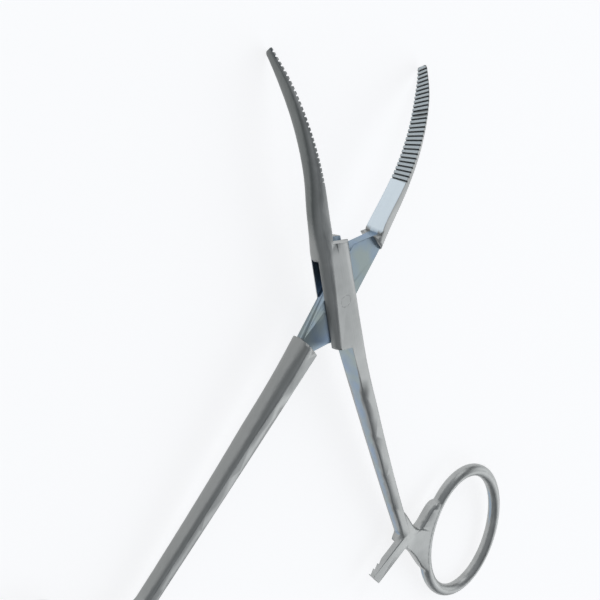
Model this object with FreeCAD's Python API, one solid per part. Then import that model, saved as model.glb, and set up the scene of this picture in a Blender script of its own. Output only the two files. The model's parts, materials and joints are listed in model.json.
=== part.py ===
import FreeCAD, Part
import math
import os
from FreeCAD import Vector

# Curved hemostat forceps with a box lock, lying open on its ring backs and jaw tips.
# Each half is drawn closed, in its own flat frame, and then turned about the pivot.
# In that frame X points to the jaw tips, the halves meet at Y = 0 and Z is the pivot axis.
# The box half has its jaw on the +Y side, and the middle half is its mirror image.
# All lengths are in millimetres and all angles in degrees.

# Driving dimensions of the opening and the running gaps
OPENING = 48.0
FACE_GAP = 0.10
TONGUE_GAP = 0.05
TONGUE_END_GAP = 0.12
CHEEK_GAP = 0.40
PIN_GAP = 0.03
ARM_GAP = 0.10

# Driving dimensions of the box lock
BOX_HALF_WIDTH = 3.5
BOX_HALF_THICK = 2.33
FLAT_AT_JAW_END = 1.21
FLAT_AT_SHANK_END = 2.28
JAW_SHOULDER = 11.4
SHANK_SHOULDER = 10.0
SHOULDER_SLANT = 20.0
TONGUE_HALF_THICK = 0.83
TONGUE_HALF_WIDTH = 3.28
TONGUE_JAW_END = 11.9
TONGUE_SHANK_END = 10.5
TONGUE_SLANT = 42.0
PIN_RADIUS = 1.1

# Driving dimensions of the jaws
JAW_STRAIGHT = 20.1
JAW_BEND_RADIUS = 38.1
JAW_BEND_SWEEP = 36.2
JAW_NECK_SETBACK = 2.0
JAW_FOOT_RUN = 4.8
JAW_FOOT_DEPTH = 3.27
JAW_MID_DEPTH = 2.24
JAW_LATE_DEPTH = 1.2
JAW_TIP_DEPTH = 0.79
JAW_FOOT_HALF_HEIGHT = 1.8
JAW_MID_HALF_HEIGHT = 1.76
JAW_LATE_HALF_HEIGHT = 1.55
JAW_TIP_HALF_HEIGHT = 0.92
JAW_LATE_SHARE = 0.6
JAW_FOOT_FLAT = 0.8
JAW_MID_FLAT = 0.5
JAW_TIP_FLAT = 0.25
JAW_NOSE = 0.75
JAW_NOSE_SHARE = 0.4
RELIEF_START = 15.6
RELIEF_DEPTH = 0.82
JAW_SPRING = 0.33
TOOTH_PITCH = 0.8
TOOTH_COUNT = 27
TOOTH_DEPTH = 0.3
TOOTH_GROOVE = 0.48
TOOTH_FLOOR_SHARE = 0.3
TOOTH_START = 0.75

# Driving dimensions of the shanks
SHANK_END = 65.7
SHANK_RUN_OUT = 2.5
SHANK_INSET_END = 7.05
SHANK_BOW = 0.29
SHANK_END_DEPTH = 2.3
SHANK_END_HALF_HEIGHT = 1.5
SHANK_RUN_OUT_SHARE = 0.8
SHANK_ROUND_START = 28.0
SHANK_FLAT_SHARE = 0.68
SHANK_INNER_BULGE = 0.4
TAPER_QUICKNESS = 0.8

# Driving dimensions of the finger ring
RING_BACK = 80.0
RING_OUT = 25.3
RING_HALF_LENGTH = 17.15
RING_HALF_BREADTH = 11.65
RING_TURN = -4.2
RING_WIRE = 1.35

# Driving dimensions of the ratchet arm
ARM_THICK = 1.4
ARM_WIDTH = 3.0
ARM_REACH = 2.0
ARM_LEAN = 23.5
ARM_ROOT_BACK = 66.9
ARM_ROOT_OUT = 8.5
RATCHET_TEETH = 3
RATCHET_PITCH = 1.4
RATCHET_DEPTH = 0.4
RATCHET_CREST = 0.2

# Driving dimensions of the web: the hollows between its branches, and where its flanks meet the ring
WEB_HALF_THICK = 1.25
WEB_EDGE_BEVEL = 0.4
WEB_NECK_BACK = 58.0
WEB_NECK_BURY = 0.8
WEB_FRONT_HIP = (-63.8, -10.0)
WEB_FRONT_NOTCH = (-67.6, -12.1)
WEB_FRONT_ROOT = (-64.7, -16.7)
WEB_BACK_NOTCH = (-72.4, -8.9)
WEB_BACK_ROOT = (-77.2, -10.7)
WEB_ARM_NOTCH = (-64.3, -6.9)
WEB_ARM_RUN = 2.6
WEB_ARM_SHARE = 0.94
WEB_RING_FRONT = 35.0
WEB_RING_BACK = 107.0

# Numbers of the drawing itself: how far cutters reach past the steel, and how dense the sections are
REACH = 6.0
FAR = 90.0
STATION_STEP = 3.0
RIM_STEPS = 8
NOSE_STEPS = 3
SKIN = 0.1


# Helpers of the drawing
def blend(start, end, share):
    """Value on the straight line from start, at share 0, to end, at share 1."""
    return start + (end - start) * share


def smooth(share):
    """Ease in and out between 0 and 1."""
    share = max(0.0, min(1.0, share))
    return share * share * (3.0 - 2.0 * share)


def slope(degrees):
    return math.tan(math.radians(degrees))


def plate(runs, low, high):
    """Solid between two heights whose outline follows runs of points, each one straight or smooth."""
    edges = []
    for run in runs:
        points = [Vector(x, y, low) for x, y in run]
        if len(points) == 2:
            edges.append(Part.LineSegment(points[0], points[1]).toShape())
        else:
            curve = Part.BSplineCurve()
            curve.interpolate(points)
            edges.append(curve.toShape())
    return Part.Face(Part.Wire(edges)).extrude(Vector(0, 0, high - low))


def prism(points, low, high):
    """Solid between two heights with a straight-sided outline."""
    return plate(list(zip(points, points[1:] + points[:1])), low, high)


def above_and_below(points, inner):
    """Two prisms of one outline that leave the layer within the inner height free."""
    return prism(points, inner, REACH).fuse(prism(points, -REACH, -inner))


def profile(knots, x):
    """Smooth value at x along a list of (place, value) knots, with no overshoot between them."""
    if x <= knots[0][0]:
        return knots[0][1]
    if x >= knots[-1][0]:
        return knots[-1][1]
    rises = [(b[1] - a[1]) / (b[0] - a[0]) for a, b in zip(knots, knots[1:])]
    slopes = [rises[0]]
    for before, after in zip(rises, rises[1:]):
        slopes.append(2 * before * after / (before + after) if before * after > 0 else 0.0)
    slopes.append(rises[-1])
    i = max(k for k in range(len(rises)) if knots[k][0] <= x)
    span = knots[i + 1][0] - knots[i][0]
    t = (x - knots[i][0]) / span
    hump = span * t * (1 - t) * (slopes[i] * (1 - t) - slopes[i + 1] * t)
    return blend(knots[i][1], knots[i + 1][1], smooth(t)) + hump


def stations(start, end):
    """Evenly spaced places from start to end, about one step apart."""
    count = max(3, round(abs(end - start) / STATION_STEP))
    return [blend(start, end, i / count) for i in range(count + 1)]


def side_section(place, inner, bulge, flat, outer, half_height):
    """Closed section of one side of a half: inner side, top flat, round outer side, bottom flat.

    place gives the point for a depth along Y and a height in the section's own plane."""
    inner_top = place(inner, half_height)
    inner_bottom = place(inner, -half_height)
    turns = [math.pi * (0.5 - i / RIM_STEPS) for i in range(RIM_STEPS + 1)]
    rim = [place(blend(flat, outer, math.cos(a)), half_height * math.sin(a)) for a in turns]
    rim_curve = Part.BSplineCurve()
    rim_curve.interpolate(rim)
    inner_curve = Part.BSplineCurve()
    inner_curve.interpolate([inner_bottom, place(inner - bulge, 0.0), inner_top])
    return Part.Wire([
        inner_curve.toShape(),
        Part.LineSegment(inner_top, rim[0]).toShape(),
        rim_curve.toShape(),
        Part.LineSegment(rim[-1], inner_bottom).toShape(),
    ])


# The box: two sides that meet at the parting plane, each with a flat face and a round flank
def box_flat(x):
    """Half width of the box's flat face, at a place along X."""
    share = (x + SHANK_SHOULDER) / (JAW_SHOULDER + SHANK_SHOULDER)
    return blend(FLAT_AT_SHANK_END, FLAT_AT_JAW_END, share)


def box_side(start, end, side):
    """The side of the box on +Y or on -Y, between two places along X: flat faces and one round flank."""
    sections = []
    corners = []
    for x in (start, end):
        def place(out, rise, x=x):
            return Vector(x, side * out, rise)

        sections.append(side_section(place, 0.0, 0.0, box_flat(x), BOX_HALF_WIDTH, BOX_HALF_THICK))
        corners.append([place(0.0, BOX_HALF_THICK), place(box_flat(x), BOX_HALF_THICK),
                        place(box_flat(x), -BOX_HALF_THICK), place(0.0, -BOX_HALF_THICK)])
    faces = [Part.Face(section) for section in sections]
    for a, b in ((0, 1), (2, 3), (3, 0)):
        outline = [corners[0][a], corners[0][b], corners[1][b], corners[1][a], corners[0][a]]
        faces.append(Part.Face(Part.makePolygon(outline)))
    rims = [section.Edges[2] for section in sections]
    faces.append(Part.makeRuledSurface(rims[0], rims[1]))
    shell = Part.makeShell(faces)
    shell.sewShape()
    return Part.makeSolid(shell)


# The jaw, which grows out of the +Y side of the box
JAW_LENGTH = JAW_STRAIGHT + JAW_BEND_RADIUS * math.radians(JAW_BEND_SWEEP)
JAW_BODY_END = JAW_LENGTH - JAW_NOSE
JAW_NECK = JAW_SHOULDER - JAW_NECK_SETBACK
JAW_FOOT = JAW_SHOULDER + JAW_FOOT_RUN
JAW_MIDDLE = JAW_STRAIGHT + JAW_FOOT_RUN
JAW_LATE = blend(JAW_MIDDLE, JAW_BODY_END, JAW_LATE_SHARE)
JAW_FLATS = [(JAW_NECK, box_flat(JAW_NECK)), (JAW_FOOT, JAW_FOOT_FLAT), (JAW_MIDDLE, JAW_MID_FLAT),
             (JAW_BODY_END, JAW_TIP_FLAT)]
JAW_DEPTHS = [(JAW_NECK, BOX_HALF_WIDTH), (JAW_FOOT, JAW_FOOT_DEPTH), (JAW_MIDDLE, JAW_MID_DEPTH),
              (JAW_LATE, JAW_LATE_DEPTH), (JAW_BODY_END, JAW_TIP_DEPTH)]
JAW_HALF_HEIGHTS = [(JAW_NECK, BOX_HALF_THICK), (JAW_FOOT, JAW_FOOT_HALF_HEIGHT),
                    (JAW_MIDDLE, JAW_MID_HALF_HEIGHT), (JAW_LATE, JAW_LATE_HALF_HEIGHT),
                    (JAW_BODY_END, JAW_TIP_HALF_HEIGHT)]


def jaw_frame(travel):
    """Point on the jaw's middle line, its forward and its upward direction, at a travel from the pivot."""
    turn = max(0.0, travel - JAW_STRAIGHT) / JAW_BEND_RADIUS
    x = min(travel, JAW_STRAIGHT) + JAW_BEND_RADIUS * math.sin(turn)
    drop = JAW_BEND_RADIUS * (1 - math.cos(turn))
    ahead = Vector(math.cos(turn), 0, -math.sin(turn))
    up = Vector(math.sin(turn), 0, math.cos(turn))
    return Vector(x, 0, -drop), ahead, up


def jaw_wire(travel, narrow=1.0, lower=1.0):
    """Section of the jaw at a travel along its middle line, with its depth and its height scaled."""
    centre, _, up = jaw_frame(travel)
    flat = narrow * profile(JAW_FLATS, travel)
    depth = narrow * profile(JAW_DEPTHS, travel)
    half_height = lower * profile(JAW_HALF_HEIGHTS, travel)

    def place(out, rise):
        return centre + Vector(0, out, 0) + up * rise

    return side_section(place, 0.0, 0.0, flat, depth, half_height)


def jaw():
    """Curved jaw with a round back and a rounded nose, from the box to the tip."""
    body = Part.makeLoft([jaw_wire(t) for t in stations(JAW_NECK, JAW_BODY_END)], True, False)
    nose = []
    for step in range(NOSE_STEPS + 1):
        turn = 0.5 * math.pi * step / NOSE_STEPS
        narrow = blend(JAW_NOSE_SHARE, 1.0, math.cos(turn))
        lower = 0.5 * (1 + narrow)
        nose.append(jaw_wire(JAW_BODY_END + JAW_NOSE * math.sin(turn), narrow, lower))
    return body.fuse(Part.makeLoft(nose, True, False))


# The shank, which grows out of the -Y side of the box
def shank_share(x):
    return (-x - SHANK_SHOULDER) / (SHANK_END - SHANK_SHOULDER)


def shank_taper(x):
    """Share of the shank's taper that is done, quicker near the box."""
    share = shank_share(x)
    return share * (1 + TAPER_QUICKNESS * (1 - share))


def shank_inset(x):
    """How far the inner side of the shank stands from the parting plane."""
    share = shank_share(x)
    return blend(0.0, SHANK_INSET_END, share) - 4 * SHANK_BOW * share * (1 - share)


def shank_depth(x):
    return blend(BOX_HALF_WIDTH, SHANK_END_DEPTH, shank_taper(x))


def shank_wire(x, lower=1.0):
    """Section of the shank at a place along X, with its edges rounder away from the box."""
    inset = shank_inset(x)
    depth = shank_depth(x)
    half_height = lower * blend(BOX_HALF_THICK, SHANK_END_HALF_HEIGHT, shank_taper(x))
    rounding = smooth((-x - SHANK_SHOULDER) / (SHANK_ROUND_START - SHANK_SHOULDER))
    flat = blend(box_flat(-SHANK_SHOULDER), inset + SHANK_FLAT_SHARE * depth, rounding)

    def place(out, rise):
        return Vector(x, -out, rise)

    return side_section(place, inset, SHANK_INNER_BULGE * rounding, flat, inset + depth, half_height)


def shank():
    """Shank from the box to its end, and a short ramp on which it sinks into the web."""
    body = Part.makeLoft([shank_wire(x) for x in stations(-SHANK_SHOULDER, -SHANK_END)], True, False)
    ramp = [shank_wire(-SHANK_END), shank_wire(-SHANK_END - SHANK_RUN_OUT, SHANK_RUN_OUT_SHARE)]
    return body.fuse(Part.makeLoft(ramp, True, True))


# The finger ring
RING_ALONG = Vector(math.cos(math.radians(RING_TURN)), math.sin(math.radians(RING_TURN)), 0)
RING_ACROSS = Vector(-RING_ALONG.y, RING_ALONG.x, 0)
RING_CENTRE = Vector(-RING_BACK, -RING_OUT, 0)


def ring_point(degrees, offset=0.0):
    """Point on the ring's middle line, or offset outwards from it, at an angle round the ring."""
    turn = math.radians(degrees)
    along = RING_ALONG * ((RING_HALF_LENGTH + offset) * math.cos(turn))
    return RING_CENTRE + along + RING_ACROSS * ((RING_HALF_BREADTH + offset) * math.sin(turn))


def half_ring(start, end):
    """Half of the ring: its round wire section carried along the ellipse between two angles."""
    oval = Part.Ellipse(ring_point(0), ring_point(90), RING_CENTRE)
    path = Part.Wire(oval.toShape(math.radians(start), math.radians(end)))
    along = RING_ACROSS if start == 0 else -RING_ACROSS
    section = Part.Wire(Part.Circle(ring_point(start), along, RING_WIRE).toShape())
    return path.makePipeShell([section], True, True)


def ring():
    """Oval finger ring, made in two halves so that each has a start and an end."""
    return half_ring(0, 180).fuse(half_ring(180, 360))


# The ratchet arm, which reaches past the parting plane to lie on the arm of the other half
ARM_AHEAD = Vector(-math.sin(math.radians(ARM_LEAN)), math.cos(math.radians(ARM_LEAN)), 0)
ARM_ASIDE = Vector(ARM_AHEAD.y, -ARM_AHEAD.x, 0)
ARM_ROOT = Vector(-ARM_ROOT_BACK, -ARM_ROOT_OUT, 0)
ARM_TIP = ARM_ROOT + ARM_AHEAD * ((ARM_REACH + ARM_ROOT_OUT) / ARM_AHEAD.y)


def ratchet_arm(side):
    """Arm on the upper layer for side +1, or on the lower one for -1, with teeth towards the other."""
    low = 0.5 * ARM_GAP
    half = ARM_ASIDE * (0.5 * ARM_WIDTH)
    corners = [ARM_ROOT - half, ARM_TIP - half, ARM_TIP + half, ARM_ROOT + half]
    arm = prism([(p.x, p.y) for p in corners], low, low + ARM_THICK)
    beyond = half + ARM_ASIDE * SKIN
    for tooth in range(RATCHET_TEETH):
        crest = ARM_TIP - ARM_AHEAD * (RATCHET_PITCH * tooth + RATCHET_CREST)
        foot = crest - ARM_AHEAD * (RATCHET_PITCH - RATCHET_CREST)
        under = Vector(0, 0, low - SKIN)
        top = Vector(0, 0, low + RATCHET_DEPTH)
        corners = [crest + under, crest + top, foot + Vector(0, 0, low), foot + under]
        corners = [corner - beyond for corner in corners]
        gullet = Part.Face(Part.makePolygon(corners + corners[:1])).extrude(beyond * 2)
        arm = arm.cut(gullet)
    if side < 0:
        arm = arm.mirror(Vector(0, 0, 0), Vector(0, 0, 1))
    return arm


# The web where shank, ring and ratchet arm meet
def web():
    """Forged plate with hollow flanks and bevelled edges, whose ends are buried in its three branches."""
    neck = -WEB_NECK_BACK
    neck_inner = (neck, -shank_inset(neck) - WEB_NECK_BURY)
    neck_outer = (neck, -shank_inset(neck) - shank_depth(neck) + WEB_NECK_BURY)
    turns = [blend(WEB_RING_FRONT, WEB_RING_BACK, i / RIM_STEPS) for i in range(RIM_STEPS + 1)]
    along_ring = [(p.x, p.y) for p in (ring_point(turn) for turn in turns)]
    half = ARM_ASIDE * (0.5 * ARM_WIDTH * WEB_ARM_SHARE)
    arm_end = ARM_ROOT + ARM_AHEAD * WEB_ARM_RUN
    arm_near, arm_far = [(p.x, p.y) for p in (arm_end + half, arm_end - half)]
    runs = [
        [neck_outer, WEB_FRONT_HIP, WEB_FRONT_NOTCH, WEB_FRONT_ROOT, along_ring[0]],
        along_ring,
        [along_ring[-1], WEB_BACK_ROOT, WEB_BACK_NOTCH, arm_far],
        [arm_far, arm_near],
        [arm_near, WEB_ARM_NOTCH, neck_inner],
        [neck_inner, neck_outer],
    ]
    body = plate(runs, -WEB_HALF_THICK, WEB_HALF_THICK)
    flats = [face for face in body.Faces if face.BoundBox.ZLength < SKIN]
    return body.makeChamfer(WEB_EDGE_BEVEL, [edge for face in flats for edge in face.Edges])


# Cutters that turn the joined sides into one half of the lock
def jaw_face(x):
    """How far the gripping face stands back: the tips meet first, and the faces gape towards the box."""
    tip = jaw_frame(JAW_LENGTH)[0].x
    return 0.5 * FACE_GAP + JAW_SPRING * max(0.0, tip - x) / (tip - RELIEF_START)


def parting_cut(jaw_end, shank_end, shoulder_slope):
    """Everything beyond the parting face and the two slanted shoulders, as seen along the pivot."""
    gap = 0.5 * FACE_GAP
    tip = jaw_frame(JAW_LENGTH)[0].x
    meet = jaw_end + RELIEF_DEPTH * shoulder_slope
    scoop = []
    for step in range(RIM_STEPS + 1):
        turn = 0.5 * math.pi * step / RIM_STEPS
        x = blend(RELIEF_START, meet, math.sin(turn))
        scoop.append((x, blend(RELIEF_DEPTH, jaw_face(RELIEF_START), math.cos(turn))))
    corners = [scoop[-1], (jaw_end - REACH * shoulder_slope, -REACH), (FAR, -REACH), (FAR, gap),
               (tip, jaw_face(tip)), scoop[0]]
    ahead = plate([scoop] + list(zip(corners, corners[1:])), -FAR, FAR)
    back = -shank_end - 2 * REACH
    behind = prism([(back, -gap), (-shank_end - gap * shoulder_slope, -gap),
                    (-shank_end + REACH * shoulder_slope, REACH), (back, REACH)], -REACH, REACH)
    return ahead.fuse(behind)


def swing_room(jaw_wall, shank_wall, wall_slope):
    """Outline of the room one half leaves for the other: open on both sides, with two slanted walls."""
    front, back = jaw_wall + REACH, shank_wall - REACH
    return [(jaw_wall, 0), (jaw_wall - REACH * wall_slope, REACH), (back, REACH), (back, 0),
            (shank_wall, 0), (shank_wall + REACH * wall_slope, -REACH), (front, -REACH), (front, 0)]


def lock_slot():
    """Slot through the box half for the tongue."""
    room = TONGUE_END_GAP / math.cos(math.radians(TONGUE_SLANT))
    outline = swing_room(TONGUE_JAW_END + room, -TONGUE_SHANK_END - room, slope(TONGUE_SLANT))
    half = TONGUE_HALF_THICK + TONGUE_GAP
    return prism(outline, -half, half)


def cheek_pockets():
    """Room for the two cheeks, cut from both faces of the middle half, and the tongue's straight sides."""
    room = CHEEK_GAP / math.cos(math.radians(SHOULDER_SLANT))
    lean = slope(SHOULDER_SLANT)
    jaw_wall, shank_wall = JAW_SHOULDER + room, -SHANK_SHOULDER - room
    pockets = above_and_below(swing_room(jaw_wall, shank_wall, lean), TONGUE_HALF_THICK)
    half = TONGUE_HALF_WIDTH
    front, back = jaw_wall + REACH, shank_wall - REACH
    left = prism([(jaw_wall - half * lean, half), (jaw_wall - REACH * lean, REACH), (back, REACH),
                  (back, half)], -REACH, REACH)
    right = prism([(shank_wall + half * lean, -half), (shank_wall + REACH * lean, -REACH),
                   (front, -REACH), (front, -half)], -REACH, REACH)
    return pockets.fuse([left, right])


def serrations():
    """Cross grooves of the gripping face, one cutter for each groove."""
    cutters = []
    for tooth in range(TOOTH_COUNT):
        centre, ahead, up = jaw_frame(JAW_LENGTH - TOOTH_START - tooth * TOOTH_PITCH)
        deep = Vector(0, jaw_face(centre.x) + TOOTH_DEPTH, 0)
        base = centre - up * REACH
        half = ahead * (0.5 * TOOTH_GROOVE)
        floor = half * TOOTH_FLOOR_SHARE
        outline = [base - half, base - floor + deep, base + floor + deep, base + half]
        cutter = Part.Face(Part.makePolygon(outline + outline[:1]))
        cutters.append(cutter.extrude(up * (2 * REACH)))
    return cutters


# The pieces
def pin(radius):
    return Part.makeCylinder(radius, 2 * BOX_HALF_THICK, Vector(0, 0, -BOX_HALF_THICK))


def blank(side):
    """One joined half before its lock is cut, with its arm on the upper or the lower layer."""
    left = box_side(-TONGUE_SHANK_END, JAW_NECK, 1)
    right = box_side(-SHANK_SHOULDER, TONGUE_JAW_END, -1)
    return left.fuse([right, jaw(), shank(), ring(), web(), ratchet_arm(side)]).removeSplitter()


def box_half():
    half = blank(1).cut(parting_cut(JAW_SHOULDER, SHANK_SHOULDER, slope(SHOULDER_SLANT)))
    half = half.cut(lock_slot()).cut(serrations())
    return half.cut(pin(PIN_RADIUS))


def middle_half():
    half = blank(-1).cut(parting_cut(TONGUE_JAW_END, TONGUE_SHANK_END, slope(TONGUE_SLANT)))
    half = half.cut(cheek_pockets()).cut(serrations())
    half = half.cut(pin(PIN_RADIUS + PIN_GAP))
    return half.mirror(Vector(0, 0, 0), Vector(0, 1, 0))


# The pose at rest: both ring backs and both jaw tips touch the ground
def rest_tilt():
    """Angle by which the open forceps lean back about Y, in degrees."""
    swing = math.radians(0.5 * OPENING)
    tip, _, up = jaw_frame(JAW_LENGTH)
    tip = tip - up * (0.5 * (1 + JAW_NOSE_SHARE) * JAW_TIP_HALF_HEIGHT)
    lie = math.radians(RING_TURN) + swing
    extent = math.hypot(RING_HALF_LENGTH * math.cos(lie), RING_HALF_BREADTH * math.sin(lie))
    ring_back = RING_BACK * math.cos(swing) - RING_OUT * math.sin(swing) + extent
    return math.degrees(math.atan2(-tip.z - RING_WIRE, tip.x * math.cos(swing) + ring_back))


def main():
    parts = {"box_half": box_half(), "middle_half": middle_half(), "pivot_pin": pin(PIN_RADIUS)}
    turns = {"box_half": 0.5 * OPENING, "middle_half": -0.5 * OPENING, "pivot_pin": 0.0}
    for name, shape in parts.items():
        shape.rotate(Vector(0, 0, 0), Vector(0, 0, 1), turns[name])
        shape.rotate(Vector(0, 0, 0), Vector(0, 1, 0), -rest_tilt())
    room = Part.makeCompound(list(parts.values())).optimalBoundingBox(False)
    to_origin = Vector(-room.Center.x, -room.Center.y, -room.ZMin)
    os.makedirs("parts", exist_ok=True)
    for name, shape in parts.items():
        shape.translate(to_origin)
        print(name, shape.isValid(), len(shape.Solids), round(shape.Volume, 2), len(shape.Faces))
        shape.exportStep("parts/" + name + ".step")
    print("pivot", to_origin, "tilt", rest_tilt())


main()
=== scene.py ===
# %% [markdown]
# Curved hemostat forceps, lying open
#
# The forceps are three pieces of stainless steel: a box half with a slot through it, a middle half
# whose flat tongue runs in that slot, and the pin both turn on. The shapes come from the construction
# model, because every size and every fit is settled there. This script only gives them their finish,
# puts soft studio light round them and looks at them the way the photograph does.

# %% Load the construction model
import json
import math
import bmesh
import bpy
import numpy as np
from mathutils import Matrix, Vector


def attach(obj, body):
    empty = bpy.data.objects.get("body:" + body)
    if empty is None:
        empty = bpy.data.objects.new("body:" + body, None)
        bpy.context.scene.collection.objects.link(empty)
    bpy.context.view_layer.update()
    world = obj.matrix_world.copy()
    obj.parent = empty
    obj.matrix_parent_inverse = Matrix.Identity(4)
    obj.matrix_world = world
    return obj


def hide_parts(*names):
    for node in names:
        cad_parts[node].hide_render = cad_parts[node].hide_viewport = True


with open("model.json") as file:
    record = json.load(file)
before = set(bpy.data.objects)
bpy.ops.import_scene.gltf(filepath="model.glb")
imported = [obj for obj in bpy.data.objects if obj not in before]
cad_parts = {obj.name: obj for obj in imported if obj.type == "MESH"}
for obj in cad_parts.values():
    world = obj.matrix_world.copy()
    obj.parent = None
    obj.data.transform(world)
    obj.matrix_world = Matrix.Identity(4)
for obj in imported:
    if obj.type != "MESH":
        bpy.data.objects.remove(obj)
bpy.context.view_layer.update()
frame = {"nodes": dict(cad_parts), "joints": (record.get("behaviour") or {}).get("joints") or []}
print("pieces of the construction model:", sorted(frame["nodes"]))

# %% [markdown]
# The flat frame of a half
#
# A half is forged, ground and serrated while it lies flat, so its finish follows its own long axis and
# not the table it later lies on. The hinge in the record gives the pivot point and the pivot axis. Each
# half is turned half of the opening about that axis, one to each side. With these three facts a pattern
# can be laid along a half, whatever way the forceps lie.

# %% The pivot and the directions along, across and up a half
MM = 0.001
OPENING = 48.0
hinge = frame["joints"][0]
pivot = Vector(hinge["pos_m"])
pivot_axis = Vector(hinge["axis"]).normalized()


def half_frame(turn_degrees):
    """The frame of a half: X to its jaw tip, Z along the pivot, as rotation from row frame to half.

    X is the row frame's X laid square to the pivot axis and then turned about that axis."""
    ahead = Vector((1, 0, 0)) - pivot_axis * pivot_axis.x
    ahead.normalize()
    ahead.rotate(Matrix.Rotation(math.radians(turn_degrees), 3, pivot_axis))
    across = pivot_axis.cross(ahead)
    return Matrix((ahead, across, pivot_axis))


box_frame = half_frame(OPENING / 2)
middle_frame = half_frame(-OPENING / 2)
print("pivot at", [round(v / MM, 2) for v in pivot], "mm")

# %% [markdown]
# Smooth steel from loose triangles
#
# The construction model arrives as loose triangles, which would show as small flat mirrors on polished
# steel. A copy whose doubled points are merged can be shaded smooth, with hard edges kept only where two
# faces meet at a real corner. Each corner's direction is weighed by the size of the faces that meet in
# it, so that large flats stay flat to the eye. The copy stands for the original, which stays hidden for
# the physics.

# %% A merged and smoothly shaded copy of a piece
MERGE_DISTANCE = 0.004 * MM
CORNER_DEGREES = 26.0


def smooth_copy(cad_node, name, body):
    """Copy of a construction piece with doubles merged, smooth except at edges above the corner angle."""
    mesh = frame["nodes"][cad_node].data.copy()
    mesh.name = name
    work = bmesh.new()
    work.from_mesh(mesh)
    bmesh.ops.remove_doubles(work, verts=work.verts, dist=MERGE_DISTANCE)
    work.to_mesh(mesh)
    work.free()
    mesh.materials.clear()
    mesh.polygons.foreach_set("use_smooth", np.ones(len(mesh.polygons), dtype=bool))
    mesh.set_sharp_from_angle(angle=math.radians(CORNER_DEGREES))
    piece = bpy.data.objects.new(name, mesh)
    bpy.context.scene.collection.objects.link(piece)
    even = piece.modifiers.new("even_shading", "WEIGHTED_NORMAL")
    even.keep_sharp = True
    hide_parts(cad_node)
    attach(piece, body)
    print(name, len(mesh.polygons), "triangles")
    return piece


box_steel = smooth_copy("box_half", "box_half_steel", "box_half_body")
middle_steel = smooth_copy("middle_half", "middle_half_steel", "middle_half_body")
pin_steel = smooth_copy("pivot_pin", "pivot_pin_steel", "box_half_body")

# %% [markdown]
# Small tools for materials
#
# Colours are written as sRGB hex, as they are picked on a screen, and one function turns them to the
# linear values that Blender reckons with. Another adds a node, with its settings and its links, so that
# a material reads as a short list. The rest are built on these two: arithmetic, a ramp, a stretched
# noise and a blend of two colours.

# %% Colour and node helpers
COLOUR_SLOTS = (6, 7)
MIXED_COLOUR = 2


def linear(hex_colour):
    """Linear RGBA of an sRGB hex colour."""
    channels = np.array([int(hex_colour[i:i + 2], 16) for i in (1, 3, 5)]) / 255
    values = np.where(channels <= 0.04045, channels / 12.92, ((channels + 0.055) / 1.055) ** 2.4)
    return (*values, 1.0)


def node(tree, kind, links=None, **settings):
    """Add a node; settings name its properties or, in place of spaces, its input sockets."""
    new = tree.nodes.new(kind)
    for key, value in settings.items():
        if hasattr(new, key):
            setattr(new, key, value)
        else:
            new.inputs[key.replace("_", " ")].default_value = value
    for key, source in (links or {}).items():
        tree.links.new(source, new.inputs[key])
    return new


def new_material(name):
    """Empty material with its node tree and its output node."""
    material = bpy.data.materials.new(name)
    material.use_nodes = True
    material.node_tree.nodes.clear()
    return material, material.node_tree, material.node_tree.nodes.new("ShaderNodeOutputMaterial")


def reckon(tree, operation, first, second=0.0):
    """One arithmetic node on sockets or plain numbers."""
    new = node(tree, "ShaderNodeMath", operation=operation)
    for slot, value in enumerate((first, second)):
        if isinstance(value, (int, float)):
            new.inputs[slot].default_value = value
        else:
            tree.links.new(value, new.inputs[slot])
    return new.outputs[0]


def product(tree, *shares):
    """All shares multiplied."""
    result = shares[0]
    for share in shares[1:]:
        result = reckon(tree, "MULTIPLY", result, share)
    return result


def size_of(tree, value):
    """The value without its sign."""
    return reckon(tree, "ABSOLUTE", value)


def ramp_up(tree, value, zero_at, one_at, low=0.0, high=1.0):
    """Straight ramp between two values of a socket, flat outside them."""
    return node(tree, "ShaderNodeMapRange", {"Value": value}, From_Min=zero_at, From_Max=one_at,
                To_Min=low, To_Max=high).outputs["Result"]


def split(tree, vector):
    """The three parts of a vector socket."""
    return node(tree, "ShaderNodeSeparateXYZ", {"Vector": vector}).outputs


def noise(tree, vector, sizes, detail):
    """Noise whose features have their own size along each axis of the half, in mm."""
    stretched = node(tree, "ShaderNodeMapping", {"Vector": vector}, Scale=[1 / size for size in sizes])
    return node(tree, "ShaderNodeTexNoise", {"Vector": stretched.outputs["Vector"]},
                Scale=1.0, Detail=detail).outputs["Fac"]


def mix(tree, share, first, second):
    """Blend of two colours by a share; each is a socket or a hex colour."""
    new = node(tree, "ShaderNodeMix", {"Factor": share}, data_type="RGBA")
    for slot, colour in zip(COLOUR_SLOTS, (first, second)):
        if isinstance(colour, str):
            new.inputs[slot].default_value = linear(colour)
        else:
            tree.links.new(colour, new.inputs[slot])
    return new.outputs[MIXED_COLOUR]


# %% [markdown]
# Where each finish lies
#
# The tongue, the walls of its slot and the inner faces of the jaws and shanks are ground finer than the
# rest. They are found from the point's place and direction in the flat frame of its half: x to the jaw
# tip, y to the side and z along the pin, in mm. Each share is 1 on its own surface and 0 elsewhere. The
# two numbers of a range are where its share is 0 and where it is 1.

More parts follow.
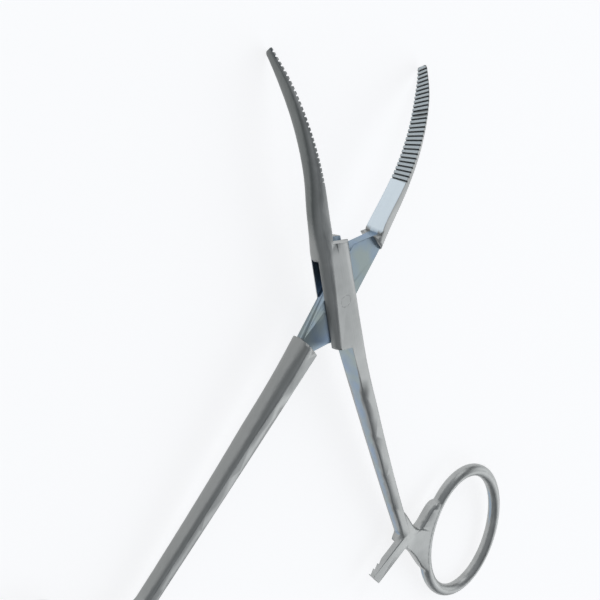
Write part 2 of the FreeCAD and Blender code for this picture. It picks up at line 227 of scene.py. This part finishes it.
# %% Shares of the ground faces, the grooves and the flanks
INWARD = (0.0, -0.04)
UPRIGHT = (0.95, 0.99)
TONGUE_LENGTH = (15.1, 14.9)
TONGUE_HEIGHT = (0.95, 0.9)
OUTER_FLANK = (1.6, 1.2)
BARE_EDGE = 0.1
TONGUE_BARE_FROM = -9.0
NONE_BARE = 20.0
GRIP_GAPE = 0.6
GRIP_TAPER = 0.0122
GRIP_LENGTH = (22.3, 22.5)
GROOVE_TOP = (0.02, 0.1)
GROOVE_FLOOR = (0.42, 0.38)
GROOVE_TILT = (0.72, 0.68)
FLANK_TURN = (0.45, 0.8)
SHANK_END = (-64.0, -58.0)


def ground_share(tree, point, facing, bare_from):
    """Share of the finely ground faces.

    A flank that faces outwards counts only where it is part of the tongue: where y is positive from
    x = bare_from on, and where y is negative up to x = -bare_from."""
    x, y, z = point
    _, sideways, _ = facing
    outward = reckon(tree, "MULTIPLY", y, sideways)
    inner = product(tree, ramp_up(tree, outward, *INWARD), ramp_up(tree, size_of(tree, sideways), *UPRIGHT))
    signed = reckon(tree, "MULTIPLY", x, reckon(tree, "SIGN", y))
    bare = ramp_up(tree, signed, bare_from - BARE_EDGE, bare_from)
    sliding = reckon(tree, "MAXIMUM", bare, ramp_up(tree, outward, *OUTER_FLANK))
    in_slot = product(tree, ramp_up(tree, size_of(tree, x), *TONGUE_LENGTH),
                      ramp_up(tree, size_of(tree, z), *TONGUE_HEIGHT), sliding)
    return reckon(tree, "MAXIMUM", inner, in_slot)


def groove_shade_share(tree, point, facing):
    """Share of the cross grooves, which lie deeper than the tapering face of the grip; painted shade is laid
    there.
    """
    x, y, _ = point
    _, _, upwards = facing
    grip_face = reckon(tree, "SUBTRACT", GRIP_GAPE, reckon(tree, "MULTIPLY", x, GRIP_TAPER))
    depth = reckon(tree, "SUBTRACT", size_of(tree, y), grip_face)
    return product(tree, ramp_up(tree, depth, *GROOVE_TOP), ramp_up(tree, depth, *GROOVE_FLOOR),
                   ramp_up(tree, size_of(tree, upwards), *GROOVE_TILT), ramp_up(tree, x, *GRIP_LENGTH))


def flank_shade_share(tree, point, facing):
    """Share of the flanks, from the jaw tip to the end of the shank, where painted shade darkens the steel.
    """
    return product(tree, ramp_up(tree, size_of(tree, facing[1]), *FLANK_TURN),
                   ramp_up(tree, point[0], *SHANK_END))


# %% [markdown]
# Satin stainless steel
#
# Surgical halves are forged from a hardened stainless steel, ground on belts and then brushed, so that
# they do not dazzle under a lamp. To the eye that is a mid grey metal with soft reflections and fine
# lengthwise grinding lines. The lines are 0.05 mm apart on the real thing, and are drawn 0.2 mm apart
# here so that they show at all. The flanks get painted shade, a darker satin, darkest along the jaws.
# The finely ground faces look bluer, with faint greenish clouds from the heat of hardening, and are
# lightest at the root of the jaws, partly from their finer finish and partly as painted reflection.
# The cross grooves get painted shade, a dark colour in their hollows. A narrow bevel softens every
# edge, as polishing does.

# %% The steel of the two halves and the pin
SATIN_LIGHT = "#BABCBB"
SATIN_DARK = "#A2A4A3"
# painted shade: the flanks, and darker still the flanks of the jaws
FLANK_SHADE_COLOUR = "#949695"
JAW_FLANK_SHADE_COLOUR = "#767978"
GROUND_COLOUR = "#8FA2B8"
GROUND_TINT = "#A2AEAD"
# lightest jaw faces: partly their finer finish, partly painted reflection
JAW_FACE_FINISH_AND_REFLECTION_COLOUR = "#D4DFE6"
TOOTH_COLOUR = "#AEB7BB"
# painted shade in the cross grooves
GROOVE_SHADE_COLOUR = "#6E7376"
LINE_SIZES = (7.0, 0.2, 0.2)
LINE_DETAIL = 2.0
CLOUD_SIZES = (5.0, 5.0, 5.0)
CLOUD_DETAIL = 3.0
GRAIN_SIZES = (0.25, 0.25, 0.25)
GRAIN_DETAIL = 1.0
LINES_IN_COLOUR = 0.5
SATIN_SPREAD = (0.55, 0.95)
TINT_SPREAD = (0.36, 0.66)
JAW_FLANK_SHADE_START = (12.5, 17.5)
JAW_FACE_START = (12.5, 13.5)
LINE_ROUGHNESS = (0.3, 0.7, 0.32, 0.42)
CLOUD_ROUGHNESS = (0.35, 0.65, -0.03, 0.03)
GROOVE_ROUGHNESS = 0.25
GRAIN_IN_HEIGHT = 0.5
EDGE_RADIUS = 0.15 * MM
EDGE_SAMPLES = 4
BUMP_STRENGTH = 0.04
BUMP_HEIGHT = 0.02 * MM


def satin_steel(name, turn, bare_from):
    """Brushed steel laid along a half, finer on sliding and inner faces, with painted shade on flanks and
    grooves.
    """
    material, tree, output = new_material(name)
    place = node(tree, "ShaderNodeTexCoord")
    euler = turn.to_euler()
    along = node(tree, "ShaderNodeMapping", {"Vector": place.outputs["Object"]}, Rotation=euler,
                 Scale=(1 / MM,) * 3, Location=-(turn @ pivot) / MM).outputs["Vector"]
    turned = node(tree, "ShaderNodeMapping", {"Vector": place.outputs["Normal"]},
                  Rotation=euler, vector_type="NORMAL").outputs["Vector"]
    point = split(tree, along)
    facing = split(tree, turned)
    x = point[0]
    ground = ground_share(tree, point, facing, bare_from)
    groove_shade = groove_shade_share(tree, point, facing)
    flank = flank_shade_share(tree, point, facing)

    lines = noise(tree, along, LINE_SIZES, LINE_DETAIL)
    clouds = noise(tree, along, CLOUD_SIZES, CLOUD_DETAIL)
    grain = noise(tree, along, GRAIN_SIZES, GRAIN_DETAIL)

    streaks = reckon(tree, "ADD", reckon(tree, "MULTIPLY", lines, LINES_IN_COLOUR), clouds)
    tops = mix(tree, ramp_up(tree, streaks, *SATIN_SPREAD), SATIN_DARK, SATIN_LIGHT)
    # painted shade: a darker satin on the flanks, darkest along the jaws
    flanks = mix(tree, ramp_up(tree, x, *JAW_FLANK_SHADE_START), FLANK_SHADE_COLOUR, JAW_FLANK_SHADE_COLOUR)
    satin = mix(tree, flank, tops, flanks)
    finer = mix(tree, ramp_up(tree, clouds, *TINT_SPREAD), GROUND_COLOUR, GROUND_TINT)
    # jaw faces lightened, partly finer finish and partly painted reflection
    finer = mix(tree, ramp_up(tree, x, *JAW_FACE_START), finer, JAW_FACE_FINISH_AND_REFLECTION_COLOUR)
    finer = mix(tree, ramp_up(tree, x, *GRIP_LENGTH), finer, TOOTH_COLOUR)
    # painted shade in the cross grooves
    colour = mix(tree, groove_shade, mix(tree, ground, satin, finer), GROOVE_SHADE_COLOUR)

    rough = reckon(tree, "ADD", ramp_up(tree, lines, *LINE_ROUGHNESS),
                   ramp_up(tree, clouds, *CLOUD_ROUGHNESS))
    rough = reckon(tree, "ADD", rough, reckon(tree, "MULTIPLY", groove_shade, GROOVE_ROUGHNESS))
    height = reckon(tree, "ADD", lines, reckon(tree, "MULTIPLY", grain, GRAIN_IN_HEIGHT))
    edge = node(tree, "ShaderNodeBevel", Radius=EDGE_RADIUS, samples=EDGE_SAMPLES)
    bump = node(tree, "ShaderNodeBump", {"Height": height, "Normal": edge.outputs["Normal"]},
                Strength=BUMP_STRENGTH, Distance=BUMP_HEIGHT)
    shader = node(tree, "ShaderNodeBsdfPrincipled",
                  {"Base Color": colour, "Roughness": rough, "Normal": bump.outputs["Normal"]},
                  Metallic=1.0)
    tree.links.new(shader.outputs["BSDF"], output.inputs["Surface"])
    return material


box_steel.data.materials.append(satin_steel("satin_steel_of_box_half", box_frame, NONE_BARE))
middle_steel.data.materials.append(satin_steel("satin_steel_of_middle_half", middle_frame, TONGUE_BARE_FROM))
pin_steel.data.materials.append(satin_steel("satin_steel_of_pin", box_frame, NONE_BARE))
print("steel on", [piece.name for piece in (box_steel, middle_steel, pin_steel)])

# %% [markdown]
# A white table
#
# The forceps lie on a plain white surface that runs out of the picture on all sides. The steel mirrors
# it, so the brightness that lifts the table to white counts for what the camera sees and for what the
# steel reflects, but it throws no light of its own on the forceps. Their soft shadow stays on it.

# %% The table
FLOOR_HALF = 1.5
FLOOR_COLOUR = "#B4B8BC"
GLOW_COLOUR = "#FDFCFC"
FLOOR_LIFT = 0.765


def square_floor(name, half):
    """Square surface on the ground: x and y run from minus half to half."""
    corners = [(-half, -half, 0), (half, -half, 0), (half, half, 0), (-half, half, 0)]
    mesh = bpy.data.meshes.new(name)
    mesh.from_pydata(corners, [], [list(range(len(corners)))])
    plane = bpy.data.objects.new(name, mesh)
    bpy.context.scene.collection.objects.link(plane)
    return plane


def seen_or_mirrored(tree):
    """Factor of 1 for rays from the camera and for rays mirrored or passed on by a surface."""
    ray = node(tree, "ShaderNodeLightPath")
    first = reckon(tree, "MAXIMUM", ray.outputs["Is Camera Ray"], ray.outputs["Is Glossy Ray"])
    return reckon(tree, "MAXIMUM", first, ray.outputs["Is Transmission Ray"])


table = square_floor("table", FLOOR_HALF)
material, tree, output = new_material("white_table")
lift = reckon(tree, "MULTIPLY", seen_or_mirrored(tree), FLOOR_LIFT)
matt = node(tree, "ShaderNodeBsdfDiffuse", Color=linear(FLOOR_COLOUR))
glow = node(tree, "ShaderNodeEmission", {"Strength": lift}, Color=linear(GLOW_COLOUR))
both = node(tree, "ShaderNodeAddShader", {0: matt.outputs[0], 1: glow.outputs[0]})
tree.links.new(both.outputs[0], output.inputs["Surface"])
table.data.materials.append(material)
print("table", 2 * FLOOR_HALF, "m wide")

# %% [markdown]
# Studio light
#
# Polished steel shows its surroundings more than itself. In the photograph the flat tops are light, the
# rounded flanks that turn to the camera carry a dark band, and below it they mirror the white table. So
# the room is almost white behind the forceps, opposite the photograph's view, darkest in a belt round
# that light part, and a middle grey everywhere else. It is drawn as a grey that depends only on how near
# a direction lies to the lightest one, from 0 for the opposite direction to 1, and it stays where it is
# when the view changes. Two large soft lamps stand on the light side, and a third one beyond the jaw
# tips gives the rings and the end of the box their highlights.

# %% The room and the lamps
LIGHTEST = (-0.25, -0.93, 0.27)
ROOM = [(0.0, "#ACAFB2"), (0.55, "#A2A5A8"), (0.67, "#86898C"), (0.84, "#7C7F82"), (0.90, "#9A9EA2"),
        (0.94, "#D2D6DA"), (0.965, "#F8FAFC")]
world = bpy.data.worlds.new("soft_room")
world.use_nodes = True
bpy.context.scene.world = world
tree = world.node_tree
tree.nodes.clear()
direction = node(tree, "ShaderNodeTexCoord").outputs["Generated"]
nearness = node(tree, "ShaderNodeVectorMath", {0: direction}, operation="DOT_PRODUCT")
nearness.inputs[1].default_value = LIGHTEST
ramp = node(tree, "ShaderNodeValToRGB", {"Fac": ramp_up(tree, nearness.outputs["Value"], -1.0, 1.0)})
while len(ramp.color_ramp.elements) < len(ROOM):
    ramp.color_ramp.elements.new(1.0)
for element, (level, colour) in zip(ramp.color_ramp.elements, ROOM):
    element.position = level
    element.color = linear(colour)
sky = node(tree, "ShaderNodeBackground", {"Color": ramp.outputs["Color"]}, Strength=1.0)
tree.links.new(sky.outputs[0], node(tree, "ShaderNodeOutputWorld").inputs["Surface"])


def soft_lamp(name, place, size, watts):
    """Square area lamp at a place, aimed at the middle of the forceps."""
    data = bpy.data.lights.new(name, "AREA")
    data.size = size
    data.energy = watts
    lamp = bpy.data.objects.new(name, data)
    lamp.location = place
    lamp.rotation_euler = (-Vector(place)).to_track_quat("-Z", "Y").to_euler()
    bpy.context.scene.collection.objects.link(lamp)


soft_lamp("lamp_behind_jaws", (0.3, -1.4, 0.7), 1.0, 1.6)
soft_lamp("lamp_behind_rings", (-0.9, -1.1, 0.7), 1.0, 1.6)
soft_lamp("lamp_at_jaw_end", (1.3, -0.3, 0.55), 0.9, 2.4)
print("room and lamps set")

# %% [markdown]
# The camera
#
# The photograph looks down on the open forceps from the side of the middle half's ring, and is turned so
# that the jaws point to its top. Matching the outline of both halves at once gave the camera's place,
# direction and lens, in the frame of the pivot: X between the two jaws and Z along the pin.

# %% The camera at the photograph's view
PICTURE_WIDTH = 600
SENSOR_WIDTH = 36.0
NEAREST = 0.01
FARTHEST = 20.0
FOCAL_PIXELS = 960.96
CAMERA_PLACE = Vector((50.692, 112.979, 108.188)) * MM
CAMERA_RIGHT = Vector((0.17455, -0.74752, 0.64090))
CAMERA_DOWN = Vector((-0.93161, 0.08536, 0.35329))
CAMERA_AHEAD = Vector((-0.31880, -0.65873, -0.68150))
to_row = half_frame(0.0).transposed()
view = Matrix((to_row @ CAMERA_RIGHT, -(to_row @ CAMERA_DOWN), -(to_row @ CAMERA_AHEAD))).transposed()
camera_data = bpy.data.cameras.new("photo_camera")
camera_data.sensor_width = SENSOR_WIDTH
camera_data.lens = SENSOR_WIDTH * FOCAL_PIXELS / PICTURE_WIDTH
camera_data.clip_start = NEAREST
camera_data.clip_end = FARTHEST
camera = bpy.data.objects.new("photo_camera", camera_data)
camera.matrix_world = Matrix.Translation(pivot + to_row @ CAMERA_PLACE) @ view.to_4x4()
bpy.context.scene.collection.objects.link(camera)
bpy.context.scene.camera = camera
bpy.context.scene.view_settings.view_transform = "Standard"
print("camera at", [round(v, 4) for v in camera.location])
